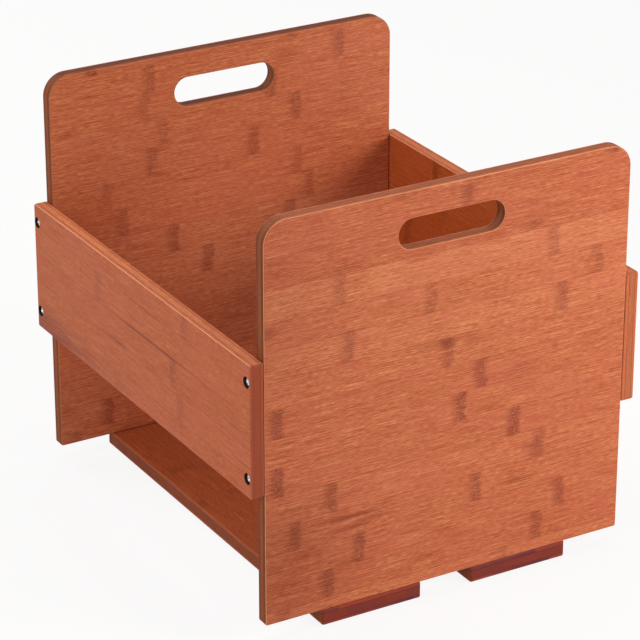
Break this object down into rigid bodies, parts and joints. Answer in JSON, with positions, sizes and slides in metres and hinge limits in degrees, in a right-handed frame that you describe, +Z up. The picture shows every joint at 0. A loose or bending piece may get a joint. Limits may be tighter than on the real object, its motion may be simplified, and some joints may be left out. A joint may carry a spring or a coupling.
{
  "type": "record storage stand",
  "caption": "Open bamboo stand for large record sleeves: upright end panels with hand slots on flat base slats, tied by side rails and recessed cross-head screws.",
  "frame": {"origin": "on the floor, under the middle of the stand", "axes": "+Z up, +Y from the front panel to the back panel along the rails, +X to the right seen from the front"},
  "size_m": [0.3626, 0.382, 0.3603],
  "materials": {
    "panel_bamboo": "satin lacquer over reddish-brown stain",
    "rail_bamboo": "satin lacquer over reddish-brown stain",
    "slat_bamboo": "satin lacquer over dark reddish-brown stain",
    "screw_zinc": "bright zinc plate"
  },
  "bodies": {
    "root": {"front_panel": "panel_bamboo", "back_panel": "panel_bamboo", "left_rail": "rail_bamboo", "right_rail": "rail_bamboo", "left_slat": "slat_bamboo", "right_slat": "slat_bamboo", "left_rail_screw_front_lower": "screw_zinc", "left_rail_screw_front_upper": "screw_zinc", "left_rail_screw_back_lower": "screw_zinc", "left_rail_screw_back_upper": "screw_zinc", "right_rail_screw_front_lower": "screw_zinc", "right_rail_screw_front_upper": "screw_zinc", "right_rail_screw_back_lower": "screw_zinc", "right_rail_screw_back_upper": "screw_zinc", "left_slat_screw_front_outer": "screw_zinc", "left_slat_screw_front_inner": "screw_zinc", "left_slat_screw_back_outer": "screw_zinc", "left_slat_screw_back_inner": "screw_zinc", "right_slat_screw_front_outer": "screw_zinc", "right_slat_screw_front_inner": "screw_zinc", "right_slat_screw_back_outer": "screw_zinc", "right_slat_screw_back_inner": "screw_zinc"}
  },
  "joints": []
}
